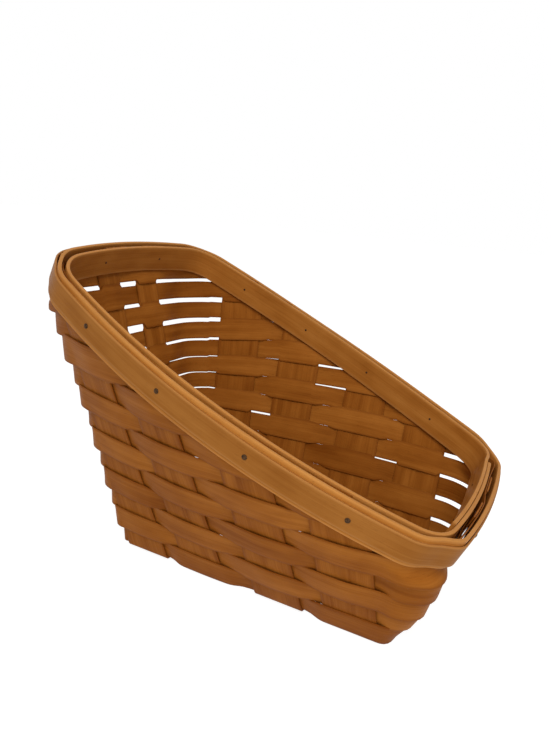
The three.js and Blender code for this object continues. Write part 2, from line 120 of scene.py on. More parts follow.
# How the weave stands in and out of the wall. Upright is how far a corner turns a weaver upright.
EDGE_RISE = 1.25
CENTRE_RISE = 2.2
RISE_SPREAD = 0.08
FIRST_ROW_RISE = 0.65
GRIPPED_RISE = 1.3
GRIP_FIT = 0.25
GRIP_START = 9
STAKE_WAVE = 0.25
STAKE_WAVE_FULL = 8
CUPPING = 0.4
TALL_UPRIGHT = 1
SHORT_UPRIGHT = 0.35
CORNER_EASE = 0.35
KINK_LENGTH = 1.5

# Stations along a strip, and the passes that settle a place on the wall and a stake's heights
STATION_STEP = 2.5
LEAST_SPAN_STEPS = 2
LEAST_WALL_STEPS = 8
RIM_STATIONS = 1600
FRAME_STATIONS = 800
PLACE_PASSES = 4
HEIGHT_PASSES = 8
SAG_PASSES = 2
TINY = 1e-9

# The swell of the weavers at the corners. It grows with the depth below the bands, then fades.
TALL_NEAR_SWELL = 8.5
TALL_FAR_SWELL = 6
SHORT_SWELL = 8
SWELL_START = 0
SWELL_FULL = 10
SWELL_FADE_START = 12
SWELL_FADE_END = 100
LOW_SWELL = 0.25
SWELL_FULL_HEIGHT = 36
BASE_TUCK = 3.5

# How wide a weaver shows, and the slits between the rows. Chance spreads a slit by a share of it.
OVER_WIDTH = 18.6
APART_RISE = 0.45
WIDENING_RATE = 1.7
WIDENING_POWER = 0.65
SLACK_WIDTH = 13.8
SLACK_SHARE = 0.6
SLACK_SPREAD = 0.8
TIGHT_SLIT = 0.06
LEAST_SLIT = 0.5
SHORT_CORNER_SLIT = 4.0
SHORT_CORNER_SHARE = 0.5
FAR_SLIT = 2.4
FAR_TIGHT_SHARE = 0.75
SLIT_END = 2.5
TOP_SLIT = 3.2
TOP_SLIT_BOUNDARY = 12
FIRST_ROW_LIFT = 0.4
FIRST_ROW_REACH = 1.6
EDGE_DRIFT = 0.3
DRIFT_WAVES = 5

# The rows hang lower round the tall end, most at one boundary between rows. The starts and
# stops here and below are places round the hoop, and those past 8 lie on the near side.
TALL_SAG = 6.5
SAG_BOUNDARY = 8.7
SAG_SPREAD = 2.4
SAG_START = (4.7, 5.1)
SAG_STOP = (6.75, 7.15)

# The rows stand higher round the near corner of the tall end, the upper ones most
NEAR_LIFT = 2.5
NEAR_LIFT_BOUNDARIES = (0, 4)
NEAR_LIFT_STOP = (7.9, 8.4)
UPPER_LIFT = 5
UPPER_LIFT_BOUNDARIES = (8.2, 10.4)
UPPER_LIFT_STOP = (8.25, 8.6)
LIFT_START = (6.85, 7.2)

# Tacks
TACK_RADIUS = 1.7
TACK_HEIGHT = 0.8
TACK_SPACING = 60
END_TACKS = 2
TACK_SEAT = 0.12
TIP_RADIUS = 0.9
TIP_HEIGHT = 0.35
DOME_TURNS = 20
DOME_CLIMBS = (0, 15, 35, 55, 75)

# Meshes: the turns of a rounded edge, and the angle from which an edge shows sharp
ROUNDING_TURNS = (90, 60, 30)
SHARP_ANGLE = 50

# Numbers that give each strip its own piece of wood, where a weaver has the number of its row
CROSS_SEED = 21
LONG_SEED = 31
BAND_SEED = 41

# Seed of the random draws
DRAWS_SEED = 11

# Sizes that follow
WALL_OFFSET = BAND_THICKNESS + WALL_SPACE / 2
OUTER_BAND_OFFSET = BAND_THICKNESS * 1.5 + WALL_SPACE
TRIM_OFFSET = OUTER_BAND_OFFSET + BAND_THICKNESS / 2 + TRIM_FIT + TRIM_THICKNESS / 2
RIM_SLOPE = (TALL_HEIGHT - SHORT_HEIGHT) / (TALL_REACH + SHORT_REACH)
RIM_MIDDLE = (SHORT_REACH - TALL_REACH) / 2
RIM_HALF_LENGTH = (SHORT_REACH + TALL_REACH) / 2
BAND_UP = np.array([RIM_SLOPE, 0, 1]) / math.hypot(RIM_SLOPE, 1)
LOW_LEVEL = STAKE_THICKNESS / 2
HIGH_LEVEL = LOW_LEVEL + STAKE_THICKNESS + CLEARANCE

random = np.random.default_rng(DRAWS_SEED)


# Small helpers
def lerp(a, b, share):
    return a + (b - a) * share


def smoothstep(low, high, value):
    share = np.clip((value - low) / (high - low), 0, 1)
    return share * share * (3 - 2 * share)


def unit(vectors):
    return vectors / np.linalg.norm(vectors, axis=-1, keepdims=True)


def smooth_curve(knots, values, at):
    """Monotone cubic through the knots, without overshoot."""
    step = np.diff(knots)
    slope = np.diff(values) / step
    before, after = slope[:-1], slope[1:]
    same_way = before * after > 0
    mean = np.where(same_way, 2 * before * after / np.where(same_way, before + after, 1), 0)
    ways = np.concatenate([slope[:1], mean, slope[-1:]])
    k = np.clip(np.searchsorted(knots, at, side="right") - 1, 0, len(step) - 1)
    h = step[k]
    u = (at - knots[k]) / h
    start = values[k] * (1 + 2 * u) * (1 - u) ** 2 + h * ways[k] * u * (1 - u) ** 2
    return start + values[k + 1] * u * u * (3 - 2 * u) + h * ways[k + 1] * u * u * (u - 1)


def wobble(length, at, waves):
    """A smooth random curve of unit size along a strip."""
    total = np.zeros_like(at)
    for wave in range(1, waves + 1):
        size = random.normal()
        phase = random.uniform(0, 2 * math.pi)
        total += size * np.sin(2 * math.pi * wave * at / length + phase)
    return total / math.sqrt(waves)


# The rim line and the base line, each as a closed hoop of eight stretches
def rim_top(plan):
    u = (plan[..., 0] - RIM_MIDDLE) / RIM_HALF_LENGTH
    sloped = TALL_HEIGHT - RIM_SLOPE * (plan[..., 0] + TALL_REACH)
    dipped = sloped - RIM_DIP * np.maximum(0, 1 - u * u)
    return dipped + FAR_RISE * (plan[..., 1] / (TALL_HALF_WIDTH + SHORT_HALF_WIDTH) + 0.5)


def rim_half(x, offset):
    u = (x - RIM_MIDDLE) / RIM_HALF_LENGTH
    taper = (SHORT_HALF_WIDTH - TALL_HALF_WIDTH) / 2
    slope = (taper - 2 * SIDE_BOW * u) / RIM_HALF_LENGTH
    middle = (TALL_HALF_WIDTH + SHORT_HALF_WIDTH) / 2
    return middle + taper * u + SIDE_BOW * (1 - u * u) + offset * np.hypot(1, slope)


TALL = dict(
    sign=-1,
    reach=TALL_REACH,
    half_width=TALL_HALF_WIDTH,
    corners={-1: TALL_NEAR_CORNER, 1: TALL_FAR_CORNER},
    bow=TALL_BOW,
    base_reach=BASE_TALL_REACH,
    base_corner=BASE_TALL_CORNER,
)
SHORT = dict(
    sign=1,
    reach=SHORT_REACH,
    half_width=SHORT_HALF_WIDTH,
    corners={-1: SHORT_NEAR_CORNER, 1: SHORT_FAR_CORNER},
    bow=SHORT_BOW,
    base_reach=BASE_SHORT_REACH,
    base_corner=BASE_SHORT_CORNER,
)


def side_start(side):
    return TALL["corners"][side] - TALL_REACH


def side_end(side):
    return SHORT_REACH - SHORT["corners"][side]


def rim_side(side, share, offset):
    x = lerp(side_start(side), side_end(side), share) + 0 * offset
    return np.stack([x, side * rim_half(x, offset)], -1)


def rim_end(end, share, offset):
    first = end["corners"][-1] - end["half_width"]
    last = end["half_width"] - end["corners"][1]
    y = lerp(first, last, share) + 0 * offset
    v = 2 * share - 1
    slope = 4 * end["bow"] * v / (last - first)
    reach = end["reach"] + end["bow"] * (1 - v * v) + offset * np.hypot(1, slope)
    return np.stack([end["sign"] * reach, y], -1)


def rim_corner(end, side, share, offset):
    """From a long side, share 0, to an end, share 1."""
    near = 0.0 if end["sign"] < 0 else 1.0
    edge = 0.0 if side < 0 else 1.0
    start = rim_side(side, near, offset)
    start_way = start - rim_side(side, near - end["sign"] * TANGENT_STEP, offset)
    finish = rim_end(end, edge, offset)
    finish_way = finish - rim_end(end, edge - side * TANGENT_STEP, offset)
    cross = start_way[..., 0] * finish_way[..., 1] - start_way[..., 1] * finish_way[..., 0]
    gap = finish - start
    run = (gap[..., 0] * finish_way[..., 1] - gap[..., 1] * finish_way[..., 0]) / cross
    meet = start + start_way * run[..., None]
    a = lerp(start, meet, CORNER_PULL)
    b = lerp(finish, meet, CORNER_PULL)
    f = np.asarray(share)[..., None]
    first_half = start * (1 - f) ** 3 + 3 * a * f * (1 - f) ** 2
    return first_half + 3 * b * f * f * (1 - f) + finish * f ** 3


def base_side(side, share):
    x = lerp(BASE_TALL_CORNER - BASE_TALL_REACH, BASE_SHORT_REACH - BASE_SHORT_CORNER, share)
    return np.stack([x, np.full_like(x, side * BASE_WIDTH / 2)], -1)


def base_end(end, share):
    half = BASE_WIDTH / 2 - end["base_corner"]
    y = lerp(-half, half, share)
    return np.stack([np.full_like(y, end["sign"] * end["base_reach"]), y], -1)


def base_corner(end, side, share):
    angle = share * math.pi / 2
    x = end["base_reach"] - end["base_corner"] * (1 - np.sin(angle))
    y = BASE_WIDTH / 2 - end["base_corner"] * (1 - np.cos(angle))
    return np.stack([end["sign"] * x, side * y], -1)


STRETCHES = (
    (lambda f, o: rim_side(-1, f, o), lambda f: base_side(-1, f)),
    (lambda f, o: rim_corner(SHORT, -1, f, o), lambda f: base_corner(SHORT, -1, f)),
    (lambda f, o: rim_end(SHORT, f, o), lambda f: base_end(SHORT, f)),
    (lambda f, o: rim_corner(SHORT, 1, 1 - f, o), lambda f: base_corner(SHORT, 1, 1 - f)),
    (lambda f, o: rim_side(1, 1 - f, o), lambda f: base_side(1, 1 - f)),
    (lambda f, o: rim_corner(TALL, 1, f, o), lambda f: base_corner(TALL, 1, f)),
    (lambda f, o: rim_end(TALL, 1 - f, o), lambda f: base_end(TALL, 1 - f)),
    (lambda f, o: rim_corner(TALL, -1, 1 - f, o), lambda f: base_corner(TALL, -1, 1 - f)),
)
HOOP = len(STRETCHES)
NEAR_SIDE, SHORT_END, FAR_SIDE, TALL_END = 0, 2, 4, 6
NEAR_MIDDLE, FAR_MIDDLE, TALL_MIDDLE = NEAR_SIDE + 0.5, FAR_SIDE + 0.5, TALL_END + 0.5


def on_hoop(place, evaluate):
    """Plan points at places round the hoop, where the whole part is the stretch."""
    place = np.mod(place, HOOP)
    stretch = np.minimum(np.floor(place).astype(int), HOOP - 1)
    plan = np.empty(place.shape + (2,))
    for k in range(HOOP):
        here = stretch == k
        if here.any():
            plan[here] = evaluate(k, place[here] - k, here)
    return plan


def pinch_at(place):
    """How much closer the bands come. The corners are the odd stretches."""
    place = np.mod(place, HOOP)
    stretch = np.floor(place)
    at_corner = np.where(stretch > FAR_SIDE, TALL_PINCH, SHORT_PINCH)
    pinch = np.where(stretch % 2 == 1, at_corner, 0)
    return pinch * np.sin(math.pi * (place - stretch)) ** 2


def rim_point(place, offset, drop):
    place = np.asarray(place, float)
    between = np.clip((offset - BAND_THICKNESS) / WALL_SPACE, 0, 1)
    squeezed = offset - pinch_at(place) * between
    plan = on_hoop(place, lambda k, share, here: STRETCHES[k][0](share, squeezed[here]))
    top = np.concatenate([plan, rim_top(plan)[..., None]], -1)
    return top - np.asarray(drop)[..., None] * BAND_UP


def base_point(place):
    plan = on_hoop(place, lambda k, share, here: STRETCHES[k][1](share))
    return np.concatenate([plan, np.zeros(plan.shape[:-1] + (1,))], -1)


def wall_point(place, z):
    """Middle surface of the woven wall, with the bend at the foot of the bands eased."""
    foot = rim_point(place, WALL_OFFSET, BAND_HEIGHT)
    base = base_point(place)
    above = z - foot[..., 2]
    eased = np.sqrt(above * above + KINK_LENGTH ** 2)
    lower = (foot - base) / foot[..., 2:]
    upper = BAND_UP / BAND_UP[2]
    return foot + lower * ((above - eased) / 2)[..., None] + upper * ((above + eased) / 2)[..., None]


def cut_height(place):
    return rim_point(place, WALL_OFFSET, 0)[..., 2] - END_CUT


def foot_height(place):
    return rim_point(place, WALL_OFFSET, BAND_HEIGHT)[..., 2]


def wall_place(stretch, coordinate, z):
    """Place on a wall with a given x, or y on an end, at height z."""
    axis = 0 if stretch in (NEAR_SIDE, FAR_SIDE) else 1
    coordinate, z = np.broadcast_arrays(np.asarray(coordinate, float), np.asarray(z, float))
    first = wall_point(np.full(z.shape, float(stretch)), z)[..., axis]
    last = wall_point(np.full(z.shape, stretch + 1 - TINY), z)[..., axis]
    share = (coordinate - first) / (last - first)
    for _ in range(PLACE_PASSES):
        inside = np.clip(share, 0, 1 - TINY)
        share = inside + (coordinate - wall_point(stretch + inside, z)[..., axis]) / (last - first)
    return stretch + np.clip(share, 0, 1 - TINY)


# Stakes where they stand in the walls, in order round the basket
def cross_edge(i, side, z):
    lean = lerp(FIRST_LEAN, LAST_LEAN, i / (len(CROSS_CENTRES) - 1))
    return CROSS_CENTRES[i] + lean * z + side * CROSS_STAKE_WIDTH / 2


def long_edge(j, side, z):
    centre = (-1 if j == 0 else 1) * (LONG_STAKE_GAP + LONG_STAKE_WIDTH) / 2
    return centre + LONG_LEAN * z + side * LONG_STAKE_WIDTH / 2


CROSS = range(len(CROSS_CENTRES))
UPRIGHTS = (
    [(NEAR_SIDE, cross_edge, i, 1) for i in CROSS]
    + [(SHORT_END, long_edge, j, 1) for j in (0, 1)]
    + [(FAR_SIDE, cross_edge, i, -1) for i in reversed(CROSS)]
    + [(TALL_END, long_edge, j, -1) for j in (1, 0)]
)


def upright_number(stretch, index):
    return next(n for n, u in enumerate(UPRIGHTS) if u[0] == stretch and u[2] == index)


# Meshes
def section(thickness, columns, rounding):
    """Half of a strip's section: share of the flat, reach past it, and height of the face."""
    turn = np.radians(ROUNDING_TURNS)
    flat = np.linspace(-1, 1, columns)
    out, up = rounding * np.sin(turn), thickness / 2 - rounding * (1 - np.cos(turn))
    share = np.concatenate([[-1] * len(turn), flat, [1] * len(turn)])
    reach = np.concatenate([-out, 0 * flat, out[::-1]])
    face = np.concatenate([up, 0 * flat + thickness / 2, up[::-1]])
    return share, reach, face


def grid_normals(points, closed):
    """Unit normals of a grid of points, which point out of the basket."""
    if closed:
        forward = np.roll(points, -1, 0) - np.roll(points, 1, 0)
    else:
        forward = np.gradient(points, axis=0)
    return unit(np.cross(forward, np.gradient(points, axis=1)))


def finish_mesh(mesh):
    mesh.polygons.foreach_set("use_smooth", np.ones(len(mesh.polygons), bool))
    mesh.set_sharp_from_angle(angle=math.radians(SHARP_ANGLE))
    mesh.update()
    return mesh


def edge_wear_and_painted_light(share, shape):
    """1 along a strip's two edges and 0 on its faces. It marks where the edge colour goes, which is partly
    real stain and wear and partly painted light: painted shade in the seams between splints, a painted
    highlight along the bands' edges.
    """
    return np.broadcast_to((np.abs(share) == 1).astype(float), shape)


def strip_mesh(name, points, normals, profile, along, across, closed, seed):
    """Closed solid about a grid of points, with the wood's own coordinates stored on it."""
    share, _, face = profile
    rows, half = points.shape[:2]
    ring = 2 * half
    outer = points + normals * face[:, None]
    inner = points - normals * face[:, None]
    vertices = np.concatenate([outer, inner[:, ::-1]], 1).reshape(-1, 3) * MM
    i = np.arange(rows if closed else rows - 1)[:, None]
    k = np.arange(ring)[None, :]
    after, side = i + 1, (k + 1) % ring
    quads = np.stack([i * ring + k, after * ring + k, after * ring + side, i * ring + side], -1)
    quads = quads.reshape(-1, 4)
    station = np.broadcast_to(np.stack([i, after, after, i], -1), (len(i), ring, 4)).reshape(-1, 4)
    if not closed:
        k = np.arange(half - 1)
        first = np.stack([k, k + 1, ring - 2 - k, ring - 1 - k], -1)
        last = first[:, ::-1] + (rows - 1) * ring
        quads = np.concatenate([quads, first, last])
        station = np.concatenate([station, np.zeros_like(first), np.full_like(last, rows - 1)])
    quads_in_mesh = quads % len(vertices)
    mesh = bpy.data.meshes.new(name)
    mesh.from_pydata(vertices.tolist(), [], quads_in_mesh.tolist())
    column = quads_in_mesh % ring
    across_ring = np.concatenate([across, across[:, ::-1]], 1)
    wear_and_painted_light = edge_wear_and_painted_light(share, (rows, half))
    wear_and_painted_light_ring = np.concatenate([wear_and_painted_light, wear_and_painted_light[:, ::-1]], 1)
    row = station % rows
    own = np.full(station.shape, float(seed))
    grain = np.stack([along[station], across_ring[row, column], own], -1)
    attribute = mesh.attributes.new("grain", "FLOAT_VECTOR", "CORNER")
    attribute.data.foreach_set("vector", grain.astype(np.float32).ravel())
    # The edge mask: partly stain and wear, partly painted shade and painted highlight on the strips' edges
    attribute = mesh.attributes.new("wear_and_painted_light", "FLOAT", "CORNER")
    attribute.data.foreach_set("value", wear_and_painted_light_ring[row, column].astype(np.float32).ravel())
    return finish_mesh(mesh)


def add_piece(prefix, name, mesh, material):
    """A visible piece that stands for the construction's piece of the same name."""
    piece = bpy.data.objects.new(f"{prefix}_{name}", mesh)
    bpy.context.scene.collection.objects.link(piece)
    mesh.materials.append(material)
    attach(piece, "root")
    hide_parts(name)


# The shift that brings the outer band's middle to where the frame has it
outer_low, outer_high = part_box("outer_band")
rim_places = np.linspace(0, HOOP, FRAME_STATIONS + 1)
outer_face = rim_point(rim_places, OUTER_BAND_OFFSET + BAND_THICKNESS / 2, 0.0)[:, 0]
reach_low = outer_face.min() - BAND_HEIGHT * BAND_UP[0]
frame_middle = (outer_low.x + outer_high.x) / 2 / MM
TO_FRAME = np.array([frame_middle - (reach_low + outer_face.max()) / 2, 0, 0])


# Weavers
def row_keys(z):
    """Places at height z of every upright's two edges, with the corners' ends between them."""
    keys, kinds = [], []
    for n, (stretch, edge, index, way) in enumerate(UPRIGHTS):
        for side in (-1, 1):
            keys.append(float(wall_place(stretch, edge(index, side * way, z), z)))
            kinds.append((n, side))
        if UPRIGHTS[(n + 1) % len(UPRIGHTS)][0] != stretch:
            keys += [stretch + 1, stretch + 2]
            kinds += [None, None]
    return np.array(keys), kinds


def row_stations(low, high):
    """Stations round a row: places at its lower and upper edge, length, and the uprights' edges."""
    lower, kinds = row_keys(low)
    upper, _ = row_keys(high)
    lower = np.append(lower, lower[0] + HOOP)
    upper = np.append(upper, upper[0] + HOOP)
    middle = wall_point((lower + upper) / 2, np.full(len(lower), (low + high) / 2))
    spans = np.linalg.norm(np.diff(middle, axis=0), axis=1)
    places = []
    for k, span in enumerate(spans):
        count = max(LEAST_SPAN_STEPS, round(span / STATION_STEP))
        pair = np.array([[lower[k], upper[k]]])
        following = np.array([[lower[k + 1], upper[k + 1]]])
        places.append(lerp(pair, following, np.arange(count)[:, None] / count))
    counts = np.cumsum([0] + [len(p) for p in places])
    places = np.concatenate(places)
    line = wall_point(places.mean(1), np.full(len(places), (low + high) / 2))
    steps = np.linalg.norm(np.roll(line, -1, 0) - line, axis=1)
    length = np.concatenate([[0], np.cumsum(steps)])
    begins = np.array([length[c] for c, kind in zip(counts, kinds) if kind and kind[1] < 0])
    finishes = np.array([length[c] for c, kind in zip(counts, kinds) if kind and kind[1] > 0])
    return places, length, begins, finishes


def row_rise(row, at, total, begins, finishes):
    """How far the weaver stands out of the wall at every station."""
    sign = np.where((row + np.arange(len(UPRIGHTS))) % 2 == 0, 1, -1)
    centre = sign * CENTRE_RISE * (1 + RISE_SPREAD * random.normal(size=len(sign)))
    if row == 1:
        centre *= FIRST_ROW_RISE
    knots = np.stack([begins, (begins + finishes) / 2, finishes], -1).ravel()
    rises = np.stack([sign * EDGE_RISE, centre, sign * EDGE_RISE], -1).ravel()
    knots = np.concatenate([knots[-3:] - total, knots, knots[:3] + total])
    return smooth_curve(knots, np.concatenate([rises[-3:], rises, rises[:3]]), at)


def row_gaps(at, total, begins, finishes):
    """Number of the upright before each station, and the lengths past it and up to the next."""
    number = np.searchsorted((begins + finishes) / 2, at, side="right") - 1
    at = np.where(number < 0, at + total, at)
    number = number % len(UPRIGHTS)
    following = np.append(begins[1:], begins[0] + total)
    return number, at - finishes[number], following[number] - at


STRETCH_OF = np.array([stretch for stretch, *_ in UPRIGHTS])
AT_CORNER = STRETCH_OF != np.roll(STRETCH_OF, -1)


def lift_until(most, boundaries, stop, boundary, place):
    """A lift that grows over the boundaries and ends along the near side."""
    return most * smoothstep(*boundaries, boundary) * (1 - smoothstep(*stop, place))


def sag(boundary, place):
    """How much lower a boundary between rows hangs, less its lift at the tall end's near corner."""
    place = np.mod(place, HOOP)
    hanging = smoothstep(*SAG_START, place) * (1 - smoothstep(*SAG_STOP, place))
    on_place = np.where(place < FAR_SIDE, place + HOOP, place)
    every = lift_until(NEAR_LIFT, NEAR_LIFT_BOUNDARIES, NEAR_LIFT_STOP, boundary, on_place)
    upper = lift_until(UPPER_LIFT, UPPER_LIFT_BOUNDARIES, UPPER_LIFT_STOP, boundary, on_place)
    lift = (every + upper) * smoothstep(*LIFT_START, on_place)
    return TALL_SAG * np.exp(-(((boundary - SAG_BOUNDARY) / SAG_SPREAD) ** 2)) * hanging - lift


def slit_width(boundary, gap):
    """Width of the slit at a boundary between two rows, in the gap after an upright."""
    chance = random.uniform()
    stretch = UPRIGHTS[gap][0]
    ahead = UPRIGHTS[(gap + 1) % len(UPRIGHTS)][0]
    if (stretch, ahead) == (TALL_END, NEAR_SIDE):
        return TOP_SLIT if boundary >= TOP_SLIT_BOUNDARY else TIGHT_SLIT
    if TALL_END in (stretch, ahead):
        middle = np.array(float(TALL_END))
        pitch = ROW_PITCH + (sag(boundary - 1, middle) - sag(boundary + 1, middle)) / 2
        return max(LEAST_SLIT, (pitch - SLACK_WIDTH) * (SLACK_SHARE + SLACK_SPREAD * chance))
    if (stretch, ahead) == (SHORT_END, FAR_SIDE):
        return SHORT_CORNER_SLIT * (SHORT_CORNER_SHARE + chance)
    if (stretch, ahead) == (FAR_SIDE, FAR_SIDE):
        return max(TIGHT_SLIT, FAR_SLIT * (chance - FAR_TIGHT_SHARE) / (1 - FAR_TIGHT_SHARE))
    return TIGHT_SLIT


SLITS = np.array([[slit_width(b, n) for n in range(len(UPRIGHTS))] for b in range(ROWS + 1)])
DRIFT_PHASES = random.uniform(0, 2 * math.pi, (ROWS + 1, DRIFT_WAVES))


def boundary_height(boundary, place):
    """Height of the line between two rows at places round the basket."""
    turns = np.arange(1, DRIFT_WAVES + 1)
    waves = np.sin(2 * math.pi * turns * place[..., None] / HOOP + DRIFT_PHASES[boundary])
    drift = EDGE_DRIFT * waves.mean(-1) * min(boundary, 1)
    return FIRST_ROW + boundary * ROW_PITCH + drift - sag(boundary, place)


def corner_swell(depth, z, place):
    """Most that a row swells out at a corner, at a depth below the bands, a height and a place."""
    most = np.where(place > FAR_MIDDLE, TALL_FAR_SWELL, SHORT_SWELL)
    most = np.where((place > TALL_MIDDLE) | (place < NEAR_MIDDLE), TALL_NEAR_SWELL, most)
    fade = smoothstep(SWELL_FADE_START, SWELL_FADE_END, depth)
    start = smoothstep(SWELL_START, SWELL_FULL, depth) * smoothstep(FIRST_ROW, SWELL_FULL_HEIGHT, z)
    tuck = BASE_TUCK * (1 - smoothstep(0, ROW_PITCH, z)) * (most == SHORT_SWELL)
    return most * start * lerp(1, LOW_SWELL, fade) - tuck


def widening(rise):
    """How far each edge of a weaver reaches past its row where it stands clear of its neighbours."""
    clear = np.maximum(np.abs(rise) - APART_RISE, 0)
    return np.minimum(WIDENING_RATE * clear ** WIDENING_POWER, (OVER_WIDTH - ROW_PITCH) / 2)


def row_edge(boundary, place, gap, opened, widened, way):
    """Height of a weaver's edge at a boundary. Way is 1 for its lower edge, -1 for its upper."""
    slit = SLITS[boundary][gap]
    open_here = opened * (slit > TIGHT_SLIT)
    return boundary_height(boundary, place) + way * (slit / 2 * opened - widened * (1 - open_here))


def weaver_edges(row, places, rise, gap, on, back):
    """Heights of a weaver's lower and upper edge at every station."""
    opened = smoothstep(-SLIT_END, 0, on) * smoothstep(-SLIT_END, 0, back)
    widened = widening(rise)
    bottom = row_edge(row - 1, places[:, 0], gap, opened, widened, 1)
    if row == 1:
        outside = smoothstep(-APART_RISE, EDGE_RISE, rise)
        bottom = FIRST_ROW + FIRST_ROW_LIFT - FIRST_ROW_REACH * outside
    top = row_edge(row, places[:, 1], gap, opened, widened, -1)
    return bottom, np.minimum(top, cut_height(places.mean(1)))


def longest_run(keep):
    """Stations of the longest unbroken run of a row that isn't kept all the way round."""
    runs = []
    for first in np.flatnonzero(keep & ~np.roll(keep, 1)):
        order = np.roll(np.arange(len(keep)), -first)
        runs.append(order[: int(np.argmin(keep[order]))])
    return max(runs, key=len)


def stand_out(points, normals, place, z, up, half, rise, corner, square):
    """How far a weaver stands out of the wall, free below the bands and held between them."""
    foot = foot_height(place)
    gripped = smoothstep(foot - GRIP_START, foot, z)
    lean = unit(np.gradient(points, axis=1))
    flat_normal = unit(normals * np.array([1, 1, 0]))
    outward = (lean * flat_normal).sum(-1)
    at_tall = (place > TALL_END - 1) | (place < NEAR_MIDDLE)
    upright = -np.where(at_tall, TALL_UPRIGHT, SHORT_UPRIGHT) * square * outward * up
    full = np.clip(np.abs(rise) / CENTRE_RISE, 0, 1)
    cup = -CUPPING * (up / half) ** 2 * (np.sign(rise) * full ** 2)
    swell = corner * corner_swell(foot - z, z, np.mod(place, HOOP))
    free = rise + cup + upright + swell
    room = (WALL_SPACE - pinch_at(place) - WEAVER_THICKNESS) / 2 - GRIP_FIT
    most_held = np.clip(room, 0, GRIPPED_RISE)
    held = np.clip(rise + GRIPPED_RISE * square, -most_held, most_held)
    return lerp(free, held, gripped)


def build_weaver(row, material):
    name = f"weaver_row_{row}"
    low, high = FIRST_ROW + (row - 1) * ROW_PITCH, FIRST_ROW + row * ROW_PITCH
    places, length, begins, finishes = row_stations(low, high)
    total = length[-1]
    along = length[:-1]
    rise = row_rise(row, along, total, begins, finishes)
    gap, on, back = row_gaps(along, total, begins, finishes)
    share_of_gap = np.clip(on / (on + back), 0, 1)
    corner = np.where(AT_CORNER[gap], np.sin(math.pi * share_of_gap) ** 2, 0)
    ease = smoothstep(0, CORNER_EASE, share_of_gap) * smoothstep(0, CORNER_EASE, 1 - share_of_gap)
    square = np.where(AT_CORNER[gap], ease, 0)
    bottom, top = weaver_edges(row, places, rise, gap, on, back)
    keep = top - bottom > SHORTEST_END
    closed = bool(keep.all())
    if not closed:
        order = longest_run(keep)
        along = np.where(order >= order[0], along[order], along[order] + total)
        places, rise, corner, square = places[order], rise[order], corner[order], square[order]
        bottom, top = bottom[order], top[order]
    profile = section(WEAVER_THICKNESS, SPLINT_COLUMNS, SPLINT_ROUNDING)
    share, reach, _ = profile
    middle = (top + bottom)[:, None] / 2
    half = (top - bottom)[:, None] / 2
    z = middle + share * (half - SPLINT_ROUNDING) + reach
    up = z - middle
    place = lerp(places[:, :1], places[:, 1:], (z - low) / (high - low))
    points = wall_point(place, z)
    normals = grid_normals(points, closed)
    shape = (rise[:, None], corner[:, None], square[:, None])
    out = stand_out(points, normals, place, z, up, half, *shape)
    points = points + normals * out[..., None]
    normals = grid_normals(points, closed)
    if closed:
        along = np.append(along, total)
    mesh = strip_mesh(name, points + TO_FRAME, normals, profile, along, up, closed, row)
    add_piece("splint", name, mesh, material)


# Stakes
def stack_point(x, y, z):
    x, y, z = np.broadcast_arrays(x, y, z)
    return np.stack([x, y, z], -1).astype(float)


